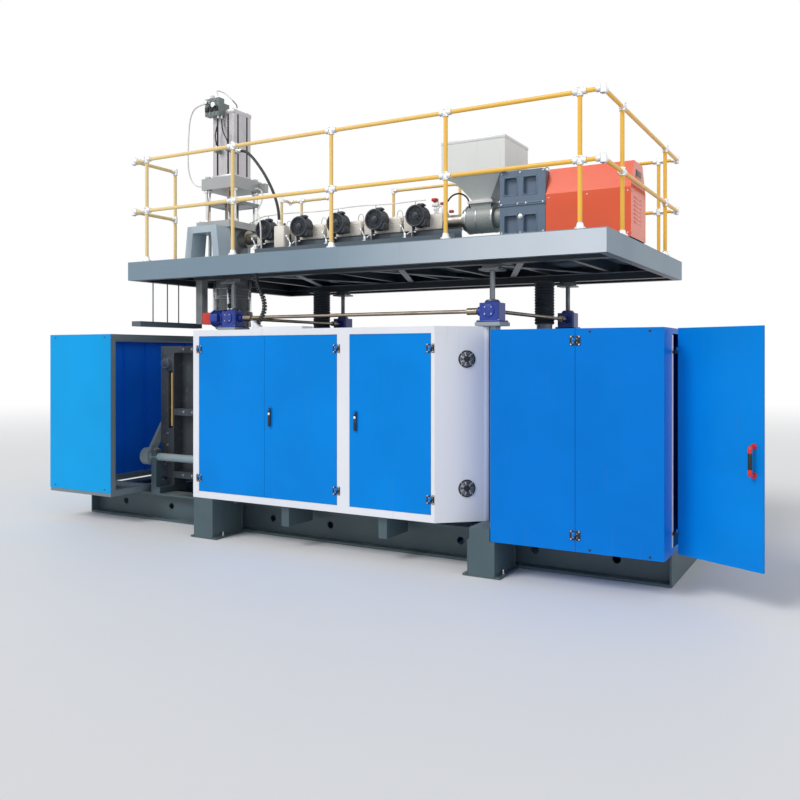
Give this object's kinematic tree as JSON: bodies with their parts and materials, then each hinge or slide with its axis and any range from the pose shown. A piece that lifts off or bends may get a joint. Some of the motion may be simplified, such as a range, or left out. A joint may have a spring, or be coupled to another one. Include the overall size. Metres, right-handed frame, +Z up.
{
  "type": "blow moulding machine",
  "caption": "Blow moulding machine: welded base with cabinets and a mould clamp, and a railed lifting platform that carries the extruder and the die head.",
  "frame": {"origin": "on the floor, at the centre of the anchor holes of the four feet", "axes": "+X along the machine from the clamp to the motor, -Y towards the operator, +Z up"},
  "size_m": [6.9544, 2.6753, 4.5974],
  "materials": {
    "base_paint": "satin",
    "blue_paint": "satin",
    "white_paint": "satin",
    "deck_paint": "satin",
    "plate_grey": "satin",
    "rail_yellow": "gloss",
    "fitting_silver": "satin",
    "bright_steel": "brushed",
    "chrome_bar": "polished",
    "cast_grey": "painted",
    "slate_paint": "satin",
    "orange_paint": "gloss",
    "hopper_steel": "satin",
    "blower_black": "satin",
    "cover_cream": "matt",
    "tower_silver": "anodised",
    "slot_brass": "polished",
    "black_plastic": "matt",
    "lift_blue": "satin",
    "hose_black": "matt",
    "hose_white": "satin"
  },
  "bodies": {
    "base": {"base_frame": "base_paint", "base_feet": "base_paint", "cabinet_shell": "white_paint", "door_hinges": "black_plastic", "enclosure_shell": "white_paint", "enclosure_panels": "blue_paint", "guard_frame": "plate_grey", "guard_panels": "blue_paint", "lift_columns": "plate_grey", "lift_gearboxes": "lift_blue", "clamp_bed": "base_paint", "clamp_cylinder": "base_paint", "switchgear": "plate_grey", "power_unit": "plate_grey", "vent_housings": "fitting_silver"},
    "platform": {"deck_frame": "deck_paint", "deck_floor": "deck_paint", "lift_hangers": "bright_steel", "railing_tubes": "rail_yellow", "railing_fittings": "fitting_silver", "barrel": "bright_steel", "feed_housing": "cast_grey", "hopper": "hopper_steel", "extruder_drive": "slate_paint", "motor_cover": "orange_paint", "platform_stands": "plate_grey", "barrel_covers": "cover_cream", "blowers": "blower_black", "head_body": "cast_grey", "head_stands": "plate_grey", "tower_plates": "plate_grey", "tower_pillars": "chrome_bar", "head_cylinder": "tower_silver", "valve_block": "cast_grey", "tower_hose_left": "hose_white", "tower_hose_right": "hose_white", "tower_hose_thick": "hose_black", "valve_hose_left": "hose_black", "valve_hose_right": "hose_black", "cable_chain": "black_plastic"},
    "left_door": {"cabinet_door_left": "blue_paint"},
    "middle_door": {"cabinet_door_middle": "blue_paint"},
    "right_door": {"cabinet_door_right": "blue_paint"},
    "middle_lever": {"cabinet_handle_middle": "black_plastic"},
    "right_lever": {"cabinet_handle_right": "black_plastic"},
    "upper_rotor": {"vent_rotor_upper": "black_plastic"},
    "lower_rotor": {"vent_rotor_lower": "black_plastic"},
    "seam_door": {"enclosure_front_door": "blue_paint"},
    "end_door": {"enclosure_end_door": "blue_paint"},
    "front_clamp": {"front_platen": "cast_grey", "tie_bars": "chrome_bar", "slot_bar": "slot_brass"},
    "rear_clamp": {"rear_platen": "cast_grey", "clamp_rod": "chrome_bar"},
    "sync": {"sync_lever": "cast_grey"},
    "front_shaft": {"line_shaft_front": "bright_steel"},
    "left_shaft": {"line_shaft_left": "bright_steel"},
    "right_shaft": {"line_shaft_right": "bright_steel"},
    "push_head": {"crosshead": "bright_steel"},
    "screw": {"extruder_screw": "bright_steel"}
  },
  "joints": [
    {"name": "platform_lift", "type": "slide", "parent": "base", "child": "platform", "axis": [0, 0, 1], "range_m": [-0.1, 0.2], "deforming": ["cable_chain"]},
    {"name": "left_door_hinge", "type": "hinge", "parent": "base", "child": "left_door", "pos_m": [-1.458, -1.331, 1.16], "axis": [0, 0, -1], "range_deg": [0, 105]},
    {"name": "middle_door_hinge", "type": "hinge", "parent": "base", "child": "middle_door", "pos_m": [0.087, -1.331, 1.16], "axis": [0, 0, 1], "range_deg": [0, 105]},
    {"name": "right_door_hinge", "type": "hinge", "parent": "base", "child": "right_door", "pos_m": [0.979, -1.331, 1.16], "axis": [0, 0, 1], "range_deg": [0, 105]},
    {"name": "middle_lever_turn", "type": "hinge", "parent": "middle_door", "child": "middle_lever", "pos_m": [-0.6195, -1.331, 1.2235], "axis": [0, 1, 0], "range_deg": [0, 90]},
    {"name": "right_lever_turn", "type": "hinge", "parent": "right_door", "child": "right_lever", "pos_m": [0.277, -1.331, 1.2235], "axis": [0, 1, 0], "range_deg": [0, 90]},
    {"name": "upper_rotor_spin", "type": "hinge", "parent": "base", "child": "upper_rotor", "pos_m": [1.20883, -1.14618, 1.674], "axis": [0.6624, -0.7491, 0], "continuous": true},
    {"name": "lower_rotor_spin", "type": "hinge", "parent": "base", "child": "lower_rotor", "pos_m": [1.20883, -1.14618, 0.644], "axis": [0.6624, -0.7491, 0], "continuous": true},
    {"name": "seam_door_hinge", "type": "hinge", "parent": "base", "child": "seam_door", "pos_m": [2.151, -1.331, 1.09], "axis": [0, 0, 1], "range_deg": [0, 105]},
    {"name": "end_door_hinge", "type": "hinge", "parent": "base", "child": "end_door", "pos_m": [2.81, -1.04, 1.09], "axis": [0, 0, 1], "range_deg": [0, 116]},
    {"name": "front_clamp_slide", "type": "slide", "parent": "base", "child": "front_clamp", "axis": [0, 1, 0], "range_m": [0, 0.1]},
    {"name": "rear_clamp_slide", "type": "slide", "parent": "base", "child": "rear_clamp", "axis": [0, -1, 0], "range_m": [0, 0.1]},
    {"name": "sync_turn", "type": "hinge", "parent": "base", "child": "sync", "pos_m": [-2.11, -0.86, 0.65], "axis": [-1, 0, 0], "range_deg": [0, 22.1]},
    {"name": "front_shaft_spin", "type": "hinge", "parent": "base", "child": "front_shaft", "pos_m": [0, -0.96, 2.062], "axis": [1, 0, 0], "continuous": true},
    {"name": "left_shaft_spin", "type": "hinge", "parent": "base", "child": "left_shaft", "pos_m": [-1.35, 0, 2.062], "axis": [0, 1, 0], "continuous": true},
    {"name": "right_shaft_spin", "type": "hinge", "parent": "base", "child": "right_shaft", "pos_m": [1.35, 0, 2.062], "axis": [0, 1, 0], "continuous": true},
    {"name": "push_head_slide", "type": "slide", "parent": "platform", "child": "push_head", "axis": [0, 0, -1], "range_m": [0, 0.12]},
    {"name": "screw_spin", "type": "hinge", "parent": "platform", "child": "screw", "pos_m": [0, -0.1, 2.96], "axis": [1, 0, 0], "continuous": true}
  ],
  "couplings": [
    {"joint": "rear_clamp_slide", "follows": "front_clamp_slide", "ratio": 1},
    {"joint": "sync_turn", "follows": "front_clamp_slide", "rad_per_m": 3.84},
    {"joint": "left_shaft_spin", "follows": "front_shaft_spin", "ratio": 1},
    {"joint": "right_shaft_spin", "follows": "front_shaft_spin", "ratio": -1}
  ]
}
